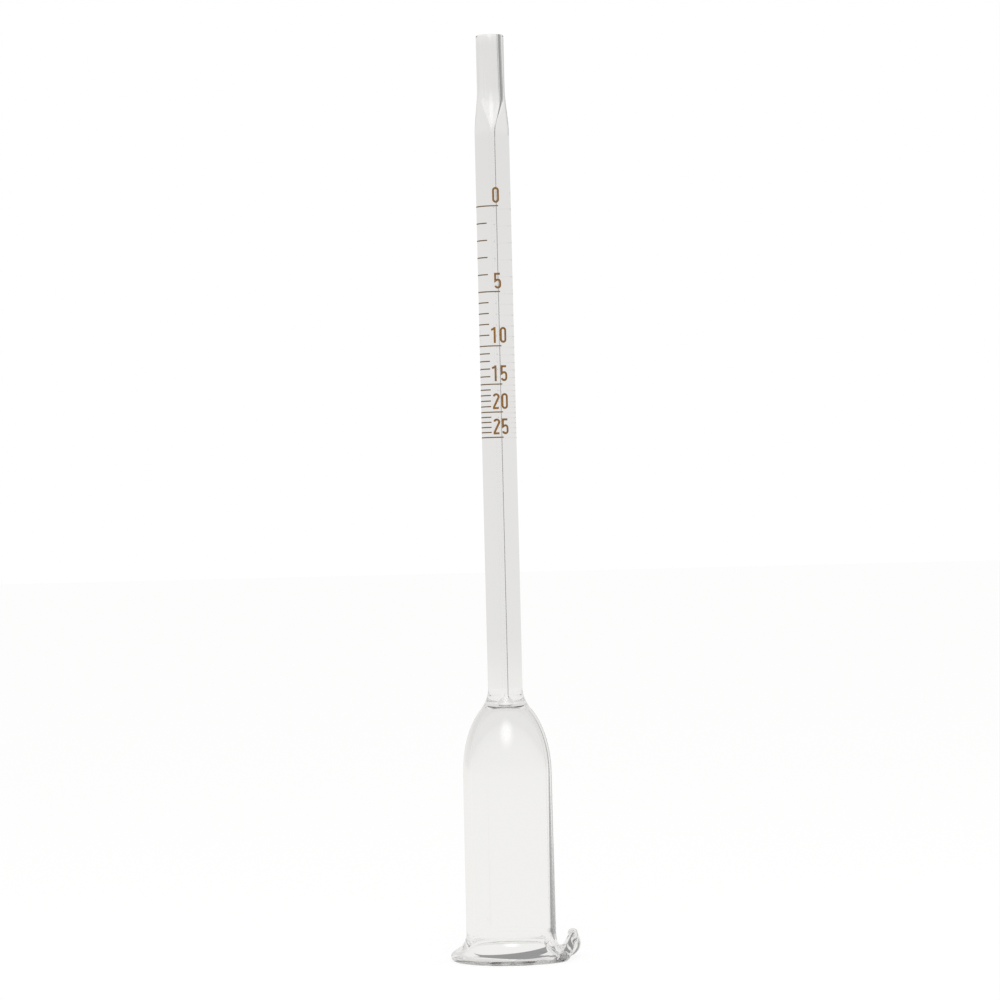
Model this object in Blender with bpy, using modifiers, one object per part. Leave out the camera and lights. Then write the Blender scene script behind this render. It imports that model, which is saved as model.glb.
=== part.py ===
"""Capillary vinometer: a glass stem with a fine bore, standing on an open bell.

Metres, +Z up. The origin is on the stem's axis, on the surface that the foot rests on, and the
foot's turned-up lip points to +X. The glass is built as the sections that a glassblower seals
together, and the scale is built as separate fired-on marks.
"""

import math

import bmesh
import bpy
from mathutils import Vector

MM = 0.001

# Whole instrument
TOTAL_HEIGHT = 134.0 * MM
SEAL_GAP = 0.3 * MM           # clearance where two glass sections meet
AROUND = 36                   # flats round a turned section

# Stem: thick-walled capillary tube
STEM_OD = 5.0 * MM
CAPILLARY_BORE = 0.45 * MM
BORE_OFFSET = 0.15 * MM       # drawn tube has its bore a little off the axis

# Mouth: the top end, drawn down outside and opened wide inside
MOUTH_OD = 4.0 * MM
MOUTH_BORE = 2.4 * MM
MOUTH_LENGTH = 7.7 * MM       # parallel outside, below the rim
MOUTH_TAPER = 7.0 * MM        # outside grows to the stem over this length
MOUTH_BORE_LENGTH = 8.8 * MM  # parallel bore, below the rim
MOUTH_BORE_TAPER = 5.6 * MM   # bore closes to the capillary over this length
MOUTH_ROUNDING = 0.2 * MM     # fire-polished rim

# Bell: the wine reservoir
BELL_OD = 13.0 * MM
BELL_WALL = 0.8 * MM
BELL_NARROWING = 0.16 * MM    # the bell is this much slimmer at its shoulder than at its foot
SHOULDER_BASE = 27.0 * MM     # height at which the wall starts to curve in
SHOULDER_RISE = 11.3 * MM     # half-height of the shoulder's ellipse
CROWN_WALL = 0.9 * MM         # glass thickness over the shoulder, up the axis
CEILING_DEPTH = 1.8 * MM      # the bell's flat ceiling below the top of the ellipse

# Neck: solid glass between the bell's ceiling and the stem
NECK_BLEND_ANGLE = math.radians(54.5)   # where the fillet leaves the shoulder's ellipse
NECK_FILLET = 1.6 * MM        # length of the fillet up the stem
NECK_MARGIN = 0.3 * MM        # glass left on the neck section beyond its ceiling and throat
THROAT_RADIUS = 1.0 * MM      # the capillary opens to this at the ceiling
THROAT_LENGTH = 2.4 * MM

# Foot: flange round the bell's open end, with a thick rounded edge
FLANGE_HEIGHT = 4.2 * MM
FOOT_FLARE = 2.3 * MM         # the foot stands out this far past the bell's wall
FOOT_EDGE = 1.4 * MM          # thickness of the rounded edge
FOOT_FLAT = 0.05 * MM         # depth worn off the edge, which leaves the ring it rests on
FOOT_AROUND = 60

# Lip: one side of the flange, drawn out and curled up as a spout and air vent
LIP_REACH = 1.3 * MM          # past the foot's edge
LIP_HEIGHT = 4.25 * MM
LIP_LIFT = 0.12 * MM         # underside of the lip above the resting surface
LIP_EDGE = 1.15 * MM          # thickness at the curled tip
LIP_DRAWN = math.radians(88.0)    # the edge is drawn out this far round each side of +X
LIP_CURLED = math.radians(47.0)   # and curled up this far round each side
FLARE_TURN = math.radians(60.0)   # the flange turns this far out from straight down
LIP_TURN = math.radians(212.0)    # and at the middle of the lip, this far out, up and back

# Scale, read downwards from the zero line
ZERO_BELOW_TAPER = 10.2 * MM  # zero line below the end of the mouth's taper
FIVE_UNIT_LENGTHS = (12.39 * MM, 7.84 * MM, 5.53 * MM, 4.03 * MM, 3.65 * MM)
UNITS_PER_LENGTH = 5
LINE_WIDTH = 0.17 * MM
LINE_START = math.radians(-95.0)  # angles round the stem from its front, towards +X
LONG_LINE_END = math.radians(15.0)
SHORT_LINE_END = math.radians(-25.0)
PRINT_GAP = 0.05 * MM         # under the enamel
PRINT_THICKNESS = 0.08 * MM
ARC_STEP = math.radians(12.0)

# Numerals, one above each long line
NUMERAL_HEIGHT = 2.29 * MM
NUMERAL_WIDTH = 1.0 * MM
NUMERAL_STROKE = 0.3 * MM
NUMERAL_SPACE = 0.24 * MM     # between the two digits of a number
NUMERAL_LIFT = 0.42 * MM      # bottom of a numeral above its line
NUMERAL_ANGLE = math.radians(7.5)   # middle of each number round the stem
FLAG_DEPTH = 0.5 * MM         # flag of a 1, where it leaves the upright
STROKE_STEP = 0.22 * MM       # furthest that one straight piece of a stroke goes round the stem

# Values that follow from those above
stem_radius = STEM_OD / 2
bore_radius = CAPILLARY_BORE / 2
mouth_radius = MOUTH_OD / 2
mouth_bore_radius = MOUTH_BORE / 2
bell_radius = BELL_OD / 2
shoulder_radius = bell_radius - BELL_NARROWING / 2
ceiling_height = SHOULDER_BASE + SHOULDER_RISE - CEILING_DEPTH
throat_top = ceiling_height + THROAT_LENGTH
fillet_bottom = SHOULDER_BASE + SHOULDER_RISE * math.sin(NECK_BLEND_ANGLE)
neck_bottom = min(ceiling_height, fillet_bottom) - NECK_MARGIN
taper_end = TOTAL_HEIGHT - MOUTH_LENGTH - MOUTH_TAPER
stem_top = min(taper_end, TOTAL_HEIGHT - MOUTH_BORE_LENGTH - MOUTH_BORE_TAPER)
zero_height = taper_end - ZERO_BELOW_TAPER
print_radius = stem_radius + PRINT_GAP


def clear_scene():
    for old in list(bpy.data.objects):
        bpy.data.objects.remove(old, do_unlink=True)


def add_collection(name):
    collection = bpy.data.collections.new(name)
    bpy.context.scene.collection.children.link(collection)
    return collection


def add_material(name, colour, roughness, transmission):
    material = bpy.data.materials.new(name)
    material.use_nodes = True
    shader = material.node_tree.nodes["Principled BSDF"]
    shader.inputs["Base Color"].default_value = (*colour, 1.0)
    shader.inputs["Roughness"].default_value = roughness
    shader.inputs["Metallic"].default_value = 0.0
    shader.inputs["IOR"].default_value = 1.47
    shader.inputs["Transmission Weight"].default_value = transmission
    return material


def add_object(name, mesh, material, collection):
    mesh.materials.append(material)
    mesh.shade_smooth()
    mesh.set_sharp_from_angle(angle=math.radians(40.0))
    piece = bpy.data.objects.new(name, mesh)
    collection.objects.link(piece)
    return piece


def smooth_step(share):
    """0 to 1, level at both ends."""
    share = min(max(share, 0.0), 1.0)
    return share * share * (3.0 - 2.0 * share)


def spaced(start, end, count):
    """count + 1 values from start to end."""
    return [start + (end - start) * i / count for i in range(count + 1)]


# ---------------------------------------------------------------- turned glass sections


def turned_mesh(name, profile):
    """Turn a closed (radius, height) outline about Z. It runs down outside and up inside."""
    mesh = bpy.data.meshes.new(name + "_profile")
    count = len(profile)
    corners = [(radius, 0.0, height) for radius, height in profile]
    mesh.from_pydata(corners, [(i, (i + 1) % count) for i in range(count)], [])
    guide = bpy.data.objects.new(name + "_profile", mesh)
    bpy.context.scene.collection.objects.link(guide)
    screw = guide.modifiers.new("Turn", "SCREW")
    screw.steps = AROUND
    screw.render_steps = AROUND
    screw.use_merge_vertices = True
    screw.merge_threshold = 0.000001
    graph = bpy.context.evaluated_depsgraph_get()
    turned = bpy.data.meshes.new_from_object(guide.evaluated_get(graph))
    bpy.data.objects.remove(guide, do_unlink=True)
    turned.name = name
    return turned


def bore_at(height):
    """Radius of the bore that runs from the mouth to the bell's ceiling."""
    taper_top = TOTAL_HEIGHT - MOUTH_BORE_LENGTH
    closing = smooth_step((taper_top - height) / MOUTH_BORE_TAPER)
    opening = smooth_step((throat_top - height) / THROAT_LENGTH)
    wide = mouth_bore_radius + (bore_radius - mouth_bore_radius) * closing
    return wide + (THROAT_RADIUS - bore_radius) * opening ** 2


def bore_shift_at(height):
    """How far the bore lies off the axis: nothing at both open ends, all of it in the stem."""
    from_mouth = smooth_step((TOTAL_HEIGHT - height) / (MOUTH_BORE_LENGTH + MOUTH_BORE_TAPER))
    from_bell = smooth_step((height - ceiling_height) / THROAT_LENGTH)
    return BORE_OFFSET * from_mouth * from_bell


def shift_bore(mesh):
    """Move the bore's own points off the axis, and leave the outside where it is."""
    for point in mesh.vertices:
        in_bore = math.hypot(point.co.x, point.co.y) < bore_at(point.co.z) + 0.02 * MM
        if in_bore and point.co.z >= ceiling_height:
            point.co.x += bore_shift_at(point.co.z)


def rounded_corner(corner, before, after, steps=3):
    """Replace a corner of an outline with a curve between two points beside it."""
    curve = []
    for share in spaced(0.0, 1.0, steps):
        start = Vector(before).lerp(Vector(corner), share)
        end = Vector(corner).lerp(Vector(after), share)
        curve.append(tuple(start.lerp(end, share)))
    return curve


def mouth_profile():
    bottom = stem_top
    taper_top = TOTAL_HEIGHT - MOUTH_LENGTH
    rounding = MOUTH_ROUNDING
    rim = rounded_corner((mouth_radius, TOTAL_HEIGHT), (mouth_radius - rounding, TOTAL_HEIGHT),
                         (mouth_radius, TOTAL_HEIGHT - rounding))
    outside = []
    for height in spaced(taper_top, taper_end, 6):
        share = smooth_step((taper_top - height) / MOUTH_TAPER)
        outside.append((mouth_radius + (stem_radius - mouth_radius) * share, height))
    if taper_end - bottom > 0.1 * MM:
        outside.append((stem_radius, bottom))
    bore_top = TOTAL_HEIGHT - MOUTH_BORE_LENGTH
    bore_end = bore_top - MOUTH_BORE_TAPER
    bore = [(bore_at(height), height) for height in spaced(bore_end, bore_top, 7)]
    if bore_end - bottom > 0.1 * MM:
        bore.insert(0, (bore_radius, bottom))
    inner_rim = rounded_corner((mouth_bore_radius, TOTAL_HEIGHT),
                               (mouth_bore_radius, TOTAL_HEIGHT - rounding),
                               (mouth_bore_radius + rounding, TOTAL_HEIGHT))
    return rim + outside + bore + inner_rim


def stem_profile(bottom):
    top = stem_top - SEAL_GAP
    return [(stem_radius, top), (stem_radius, bottom), (bore_radius, bottom), (bore_radius, top)]


def shoulder_outside(height):
    """Outer radius of the shoulder's ellipse."""
    share = (height - SHOULDER_BASE) / SHOULDER_RISE
    return shoulder_radius * math.sqrt(1.0 - share * share)


def shoulder_inside(height):
    """Inner radius, from an ellipse that keeps the wall and the crown thickness."""
    share = (height - SHOULDER_BASE) / (SHOULDER_RISE - CROWN_WALL)
    return (shoulder_radius - BELL_WALL) * math.sqrt(1.0 - share * share)


def neck_fillet():
    """Curve from the stem down to the shoulder, tangent to both."""
    low = Vector((shoulder_radius * math.cos(NECK_BLEND_ANGLE), fillet_bottom))
    slope = SHOULDER_RISE / shoulder_radius / math.tan(NECK_BLEND_ANGLE)
    corner = Vector((stem_radius, low.y + (low.x - stem_radius) * slope))
    high = Vector((stem_radius, corner.y + NECK_FILLET))
    return rounded_corner(corner, high, low, steps=6)


def neck_top():
    """The neck section holds all of the fillet and all of the throat."""
    return max(neck_fillet()[0][1], throat_top + NECK_MARGIN)


def neck_profile():
    top = neck_top()
    fillet = neck_fillet()
    stub = [(stem_radius, top)] if top > fillet[0][1] else []
    outside = stub + fillet + [(shoulder_outside(neck_bottom), neck_bottom)]
    dome = [(shoulder_inside(height), height) for height in spaced(neck_bottom, ceiling_height, 2)]
    throat = spaced(ceiling_height, throat_top, 5)
    bore = [(bore_at(height), height) for height in throat]
    return outside + dome + bore + [(bore_radius, top)]


def bell_profile():
    top = neck_bottom - SEAL_GAP
    bottom = FLANGE_HEIGHT + SEAL_GAP
    share = (top - SHOULDER_BASE) / SHOULDER_RISE
    inner_share = (top - SHOULDER_BASE) / (SHOULDER_RISE - CROWN_WALL)
    outside = []
    for angle in spaced(math.asin(share), 0.0, 8):
        outside.append((shoulder_radius * math.cos(angle),
                        SHOULDER_BASE + SHOULDER_RISE * math.sin(angle)))
    outside.append((bell_radius, bottom))
    inside = [(bell_radius - BELL_WALL, bottom)]
    for angle in spaced(0.0, math.asin(inner_share), 8):
        height = SHOULDER_BASE + (SHOULDER_RISE - CROWN_WALL) * math.sin(angle)
        inside.append(((shoulder_radius - BELL_WALL) * math.cos(angle), height))
    return outside + inside


# ---------------------------------------------------------------- foot with its lip


def lip_share(angle, spread):
    """1 at the lip's middle, falling smoothly to 0 at a given angle from it."""
    away = abs(angle) / spread
    return math.cos(away * math.pi / 2) ** 2 if away < 1.0 else 0.0


def turning_curve(turn, steps):
    """Curve of unit length that sets off straight down and turns gradually outwards and up."""
    curve = [Vector((0.0, 0.0))]
    for step in range(steps):
        heading = turn * smooth_step((step + 0.5) / steps) - math.pi / 2
        curve.append(curve[-1] + Vector((math.cos(heading), math.sin(heading))) / steps)
    return curve


def flange_line(angle, steps):
    """Middle line of the flange at an angle from the lip, as (radius, height, half thickness)."""
    drawn = lip_share(angle, LIP_DRAWN)
    curled = lip_share(angle, LIP_CURLED)
    curve = turning_curve(FLARE_TURN + (LIP_TURN - FLARE_TURN) * curled, steps)
    deepest = min(point.y for point in curve)
    widest = max(point.x for point in curve)
    full_curl = turning_curve(LIP_TURN, steps)
    half_edge = FOOT_EDGE / 2 + (LIP_EDGE - FOOT_EDGE) / 2 * curled
    low = FOOT_EDGE / 2 - FOOT_FLAT + LIP_LIFT * curled
    curl_rise = full_curl[-1].y - min(point.y for point in full_curl)
    rise_scale = (LIP_HEIGHT - LIP_EDGE / 2 - FOOT_EDGE / 2 - LIP_LIFT) / curl_rise
    reach = FOOT_FLARE + BELL_WALL / 2 - half_edge + LIP_REACH * drawn
    turned_at = [point.y for point in curve].index(deepest)
    line = []
    for i, point in enumerate(curve):
        if i <= turned_at:
            height = FLANGE_HEIGHT - (FLANGE_HEIGHT - low) * point.y / deepest
        else:
            height = low + (point.y - deepest) * rise_scale
        half = BELL_WALL / 2 + (half_edge - BELL_WALL / 2) * smooth_step(i / steps)
        radius = bell_radius - BELL_WALL / 2 + reach * point.x / widest
        line.append(Vector((radius, height, half)))
    return line


def flange_section(angle, steps=11, cap_steps=6):
    """Closed (radius, height) outline of the flange at an angle from the lip's middle."""
    line = flange_line(angle, steps)
    upper = []
    lower = []
    for i, point in enumerate(line):
        before = line[max(i - 1, 0)]
        after = line[min(i + 1, steps)]
        along = (after - before).xy.normalized() if i else Vector((0.0, -1.0))
        out = Vector((-along.y, along.x)) * point.z
        upper.append(point.xy + out)
        lower.append(point.xy - out)
    start = math.atan2(out.y, out.x)
    cap = [point.xy + point.z * Vector((math.cos(start - turn), math.sin(start - turn)))
           for turn in spaced(0.0, math.pi, cap_steps)[1:-1]]
    return [(place.x, place.y) for place in upper + cap + lower[::-1]]


def foot_mesh(name):
    """Loft the flange's sections round the axis and wear the underside flat where it rests."""
    shape = bmesh.new()
    rings = []
    for turn in spaced(0.0, 2 * math.pi, FOOT_AROUND)[:-1]:
        angle = turn if turn <= math.pi else turn - 2 * math.pi
        rings.append([shape.verts.new((radius * math.cos(turn), radius * math.sin(turn), height))
                      for radius, height in flange_section(angle)])
    for ring, following in zip(rings, rings[1:] + rings[:1]):
        count = len(ring)
        for i in range(count):
            j = (i + 1) % count
            shape.faces.new((ring[i], ring[j], following[j], following[i]))
    bmesh.ops.triangulate(shape, faces=shape.faces)
    worn = bmesh.ops.bisect_plane(shape, geom=shape.verts[:] + shape.edges[:] + shape.faces[:],
                                  plane_co=(0.0, 0.0, 0.0), plane_no=(0.0, 0.0, -1.0),
                                  clear_outer=True)
    edges = [item for item in worn["geom_cut"] if isinstance(item, bmesh.types.BMEdge)]
    bmesh.ops.triangle_fill(shape, use_beauty=True, edges=edges, normal=(0.0, 0.0, -1.0))
    bmesh.ops.recalc_face_normals(shape, faces=shape.faces)
    bmesh.ops.triangulate(shape, faces=shape.faces)
    mesh = bpy.data.meshes.new(name)
    shape.to_mesh(mesh)
    shape.free()
    return mesh


# ---------------------------------------------------------------- fired-on scale


def unit_heights():
    """Height of each unit's line, from the zero line down."""
    heights = [zero_height]
    for length in FIVE_UNIT_LENGTHS:
        for _ in range(UNITS_PER_LENGTH):
            heights.append(heights[-1] - length / UNITS_PER_LENGTH)
    return heights


def on_stem(angle, height, radius=print_radius):
    """Point on the stem: angle 0 faces -Y, and grows towards +X."""
    return Vector((radius * math.sin(angle), -radius * math.cos(angle), height))


def line_mesh(name, height, end):
    """Spin a small rectangle part of the way round the stem."""
    shape = bmesh.new()
    low = height - LINE_WIDTH / 2
    high = height + LINE_WIDTH / 2
    outer = print_radius + PRINT_THICKNESS
    corners = [on_stem(LINE_START, low), on_stem(LINE_START, low, outer),
               on_stem(LINE_START, high, outer), on_stem(LINE_START, high)]
    section = shape.faces.new([shape.verts.new(corner) for corner in corners])
    turn = end - LINE_START
    bmesh.ops.spin(shape, geom=[section, *section.edges, *section.verts], axis=(0, 0, 1),
                   cent=(0, 0, 0), angle=turn, steps=math.ceil(turn / ARC_STEP))
    bmesh.ops.recalc_face_normals(shape, faces=shape.faces)
    mesh = bpy.data.meshes.new(name)
    shape.to_mesh(mesh)
    shape.free()
    return mesh


def arc(centre, radii, start, end, steps=6):
    """Points on an ellipse's arc, angles in degrees anticlockwise from +X."""
    return [Vector((centre[0] + radii[0] * math.cos(math.radians(angle)),
                    centre[1] + radii[1] * math.sin(math.radians(angle))))
            for angle in spaced(start, end, steps)]


def digit_stroke(digit):
    """Middle line of a digit's single stroke, its foot at 0, centred; True if it is a ring."""
    half = (NUMERAL_WIDTH - NUMERAL_STROKE) / 2
    low = NUMERAL_STROKE / 2
    high = NUMERAL_HEIGHT - NUMERAL_STROKE / 2
    if digit == "0":
        top = arc((0, high - half), (half, half), 0, 180)
        return top + arc((0, low + half), (half, half), 180, 360), True
    if digit == "1":
        under_flag = NUMERAL_HEIGHT - FLAG_DEPTH
        return [Vector((0.0, 0.0)), Vector((0.0, under_flag)), Vector((0.0, NUMERAL_HEIGHT))], False
    if digit == "2":
        bowl = arc((0, high - half), (half, half), 170, -30)
        return bowl + [Vector((-half, low * 2)), Vector((-half, low)), Vector((half, low))], False
    waist = NUMERAL_HEIGHT * 0.56
    bowl = arc((0, waist - half), (half, half), 135, 0)
    tail = arc((0, low + half), (half, half), 0, -170)
    return [Vector((half, high)), Vector((-half, high)), Vector((-half, waist - half * 0.5)),
            *bowl, *tail], False


def shortened(stroke, ring):
    """Add points so that no straight piece is too long to bend round the stem."""
    closed = stroke + stroke[:1] if ring else stroke
    points = []
    for a, b in zip(closed, closed[1:]):
        pieces = max(1, math.ceil(abs(b.x - a.x) / STROKE_STEP))
        points += [a.lerp(b, i / pieces) for i in range(pieces)]
    return points if ring else points + [stroke[-1]]


def digit_mesh(name, digit, centre, base):
    """A stroke of even width laid on the stem as an open strip."""
    stroke, ring = digit_stroke(digit)
    points = shortened(stroke, ring)
    count = len(points)
    shape = bmesh.new()
    pairs = []
    for i, point in enumerate(points):
        before = points[i - 1] if ring or i else None
        after = points[(i + 1) % count] if ring or i < count - 1 else None
        come = (point - before).normalized() if before else (after - point).normalized()
        leave = (after - point).normalized() if after else come
        along = (come + leave).normalized()
        across = Vector((-along.y, along.x)) * NUMERAL_STROKE / 2 / max(along.dot(come), 0.5)
        pair = []
        for place in (point + across, point - across):
            angle = centre + place.x / stem_radius
            pair.append(shape.verts.new(on_stem(angle, base + place.y)))
        pairs.append(pair)
    following = pairs[1:] + pairs[:1] if ring else pairs[1:]
    for (left, right), (next_left, next_right) in zip(pairs, following):
        shape.faces.new((left, right, next_right, next_left))
    if digit == "1":
        add_flag(shape, pairs, centre, base)
    shape.normal_update()
    for face in shape.faces:
        middle = face.calc_center_median()
        if face.normal.dot(Vector((middle.x, middle.y, 0.0))) < 0.0:
            face.normal_flip()
    mesh = bpy.data.meshes.new(name)
    shape.to_mesh(mesh)
    shape.free()
    return mesh


def add_flag(shape, pairs, centre, base):
    """The short flag at the top left of a 1, grown from the upright's own edge."""
    tip_angle = centre - NUMERAL_WIDTH / 2 / stem_radius
    tip_high = base + NUMERAL_HEIGHT - FLAG_DEPTH * 0.5
    tip_low = base + NUMERAL_HEIGHT - FLAG_DEPTH * 1.1
    tips = [shape.verts.new(on_stem(tip_angle, height)) for height in (tip_high, tip_low)]
    shape.faces.new((pairs[2][0], *tips, pairs[1][0]))


def add_lines(material, collection):
    for unit, height in enumerate(unit_heights()):
        name = f"scale_line_{unit:02d}"
        end = LONG_LINE_END if unit % UNITS_PER_LENGTH == 0 else SHORT_LINE_END
        add_object(name, line_mesh(name, height, end), material, collection)


def add_numerals(material, collection):
    heights = unit_heights()
    for unit in range(0, len(heights), UNITS_PER_LENGTH):
        digits = str(unit)
        pitch = (NUMERAL_WIDTH + NUMERAL_SPACE) / stem_radius
        for place, digit in enumerate(digits):
            name = f"numeral_{unit}"
            if len(digits) == 2:
                name += ("_tens", "_units")[place]
            centre = NUMERAL_ANGLE + (place - (len(digits) - 1) / 2) * pitch
            mesh = digit_mesh(name, digit, centre, heights[unit] + NUMERAL_LIFT)
            numeral = add_object(name, mesh, material, collection)
            thicken = numeral.modifiers.new("Enamel", "SOLIDIFY")
            thicken.thickness = PRINT_THICKNESS
            thicken.offset = 1.0
            thicken.use_even_offset = False


def main():
    clear_scene()
    vinometer = add_collection("vinometer")
    glass = add_material("clear_glass", (0.86, 0.88, 0.87), 0.02, 1.0)
    enamel = add_material("amber_enamel", (0.30, 0.10, 0.02), 0.35, 0.0)

    mouth = turned_mesh("mouth_tube", mouth_profile())
    stem = turned_mesh("capillary_stem", stem_profile(neck_top() + SEAL_GAP))
    neck = turned_mesh("neck_seal", neck_profile())
    for mesh in (mouth, stem, neck):
        shift_bore(mesh)
        add_object(mesh.name, mesh, glass, vinometer)
    add_object("bell", turned_mesh("bell", bell_profile()), glass, vinometer)
    add_object("foot_flange", foot_mesh("foot_flange"), glass, vinometer)

    add_lines(enamel, vinometer)
    add_numerals(enamel, vinometer)


main()
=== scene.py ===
"""Looks of a glass capillary vinometer: its fused glass, its fired scale and a plain studio.

Metres, +Z up. The scale faces -Y, the foot's turned-up lip points to +X, and the foot rests on
the floor at height 0.
"""

import math

import bmesh
import bpy
from bpy.props import FloatProperty, IntProperty, PointerProperty, StringProperty
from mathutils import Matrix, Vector


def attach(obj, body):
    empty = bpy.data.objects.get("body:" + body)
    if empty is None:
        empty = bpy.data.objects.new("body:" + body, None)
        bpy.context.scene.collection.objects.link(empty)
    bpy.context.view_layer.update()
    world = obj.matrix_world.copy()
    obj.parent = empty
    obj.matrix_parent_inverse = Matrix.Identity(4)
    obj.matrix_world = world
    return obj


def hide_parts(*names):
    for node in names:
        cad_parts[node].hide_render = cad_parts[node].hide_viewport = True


bl_info = {
    "name": "Capillary vinometer",
    "version": (1, 0, 0),
    "blender": (4, 5, 0),
    "location": "3D View > Sidebar > Vinometer",
    "description": "Builds the glass, the scale and the studio of a capillary vinometer",
    "category": "Object",
}

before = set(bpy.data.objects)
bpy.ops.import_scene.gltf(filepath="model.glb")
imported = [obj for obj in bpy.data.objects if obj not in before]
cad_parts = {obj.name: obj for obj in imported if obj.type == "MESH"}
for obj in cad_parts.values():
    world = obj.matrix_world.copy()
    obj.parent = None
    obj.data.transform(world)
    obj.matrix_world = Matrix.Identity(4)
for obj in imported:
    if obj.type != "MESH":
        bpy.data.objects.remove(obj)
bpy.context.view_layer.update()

MM = 0.001


def length(name, description, millimetres):
    """A size, given in millimetres and kept in metres."""
    return FloatProperty(name=name, description=description, default=millimetres * MM,
                         min=0.0, precision=5, subtype="DISTANCE", unit="LENGTH")


def turn(name, description, degrees):
    """An angle, given in degrees."""
    return FloatProperty(name=name, description=description, default=math.radians(degrees),
                         subtype="ANGLE", unit="ROTATION")


def share(name, description, default):
    """A part of 1."""
    return FloatProperty(name=name, description=description, default=default,
                         min=0.0, max=1.0, subtype="FACTOR")


def colour(name, description, code):
    """A colour, written as it is picked."""
    return StringProperty(name=name, description=description + ", as an sRGB hex code",
                          default=code)


class VINOMETER_PG_glass(bpy.types.PropertyGroup):
    """Sizes and tint of the glass"""
    total_height: length("Total height", "Foot to rim", 134.0)
    stem_radius: length("Stem radius", "Outside of the capillary tube", 2.5)
    bore_radius: length("Bore radius", "Radius of the capillary", 0.225)
    bore_offset: length("Bore offset", "How far the capillary lies off the axis", 0.15)
    mouth_radius: length("Mouth radius", "Outside of the drawn-down mouth", 2.0)
    mouth_bore: length("Mouth bore radius", "Inside of the mouth", 1.2)
    mouth_length: length("Mouth length", "Parallel outside below the rim", 7.7)
    mouth_taper: length("Mouth taper", "Outside grows to the stem over this length", 7.0)
    mouth_bore_length: length("Mouth bore length", "Parallel bore below the rim", 8.8)
    mouth_bore_taper: length("Mouth bore taper", "Bore closes to the capillary over this", 5.6)
    rounding: length("Rim rounding", "Fire-polished rim", 0.2)
    bell_radius: length("Bell radius", "Outside of the bell at its foot", 6.5)
    shoulder_radius: length("Shoulder radius", "Outside of the bell at its shoulder", 6.42)
    wall: length("Wall", "Thickness of the bell's wall", 0.8)
    shoulder_base: length("Shoulder base", "Height at which the wall curves in", 27.0)
    shoulder_rise: length("Shoulder rise", "Half-height of the shoulder's ellipse", 11.3)
    crown_wall: length("Crown wall", "Glass over the shoulder, up the axis", 0.9)
    ceiling_depth: length("Ceiling depth", "Ceiling below the top of the ellipse", 1.8)
    neck_angle: turn("Neck angle", "Where the fillet leaves the shoulder's ellipse", 54.5)
    neck_fillet: length("Neck fillet", "Length of the fillet up the stem", 1.6)
    throat_radius: length("Throat radius", "The capillary opens to this at the ceiling", 1.0)
    throat_length: length("Throat length", "Height over which it opens", 2.4)
    flange_height: length("Flange height", "Where the wall starts to flare", 4.2)
    foot_flare: length("Foot flare", "How far the foot stands out past the wall", 2.2998)
    foot_edge: length("Foot edge", "Thickness of the foot's rounded edge", 1.4)
    foot_flat: length("Foot flat", "Depth worn off the edge", 0.05)
    lip_reach: length("Lip reach", "Past the foot's edge", 1.28)
    lip_height: length("Lip height", "Top of the curled tip", 4.25)
    lip_lift: length("Lip lift", "Underside of the lip above the floor", 0.12)
    lip_edge: length("Lip edge", "Thickness of the curled tip", 1.15)
    drawn_spread: turn("Drawn spread", "The lip is drawn out this far to each side", 88.0)
    curled_spread: turn("Curled spread", "The lip is curled up this far to each side", 47.0)
    flange_turn: turn("Flange turn", "How far the flange bends outwards", 60.0)
    lip_turn: turn("Lip turn", "How far it bends at the middle of the lip", 212.0)
    fine_spread: turn("Fine spread", "Half of the flats are this far to each side of the lip", 52.0)
    around: IntProperty(name="Around", description="Flats round the glass", default=208, min=24)
    # The capillary's right side is painted dark in the base colour: a painted reflection.
    shade_full: length("Full shade", "The capillary's right side is dark up to this distance", 0.11)
    shade_end: length("End of shade", "The dark has faded out at this distance", 0.23)
    shade_left: share("Light left", "What the dark side lets through", 0.04)
    glass_tint: colour("Glass tint", "What thick glass leaves of white", "#BCBCBC")


class VINOMETER_PG_scale(bpy.types.PropertyGroup):
    """Sizes, places and colours of the scale"""
    zero_height: length("Zero height", "Height of the zero line", 109.1)
    line_width: length("Line width", "Width of a line", 0.17)
    film: length("Film", "How far the enamel stands out of the glass", 0.02)
    bite: length("Bite", "How far the enamel is fused into the glass", 0.015)
    line_start: turn("Line start", "Left end of every line, from the front", -95.0)
    long_end: turn("Long line end", "Right end of the numbered lines", 15.0)
    short_end: turn("Short line end", "Right end of the other lines", -25.0)
    numeral_height: length("Numeral height", "Height of a digit", 2.29)
    numeral_width: length("Numeral width", "Width of a digit", 1.0)
    stroke: length("Stroke", "Width of a digit's stroke", 0.3)
    space: length("Space", "Between the two digits of a number", 0.24)
    lift: length("Lift", "Foot of a numeral above its line", 0.42)
    numeral_angle: turn("Numeral angle", "Middle of the numbers round the stem", 7.5)
    numeral_colour: colour("Numeral colour", "Enamel of the numerals", "#80581C")
    line_colour: colour("Line colour", "Enamel of the lines", "#6A532E")


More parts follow.
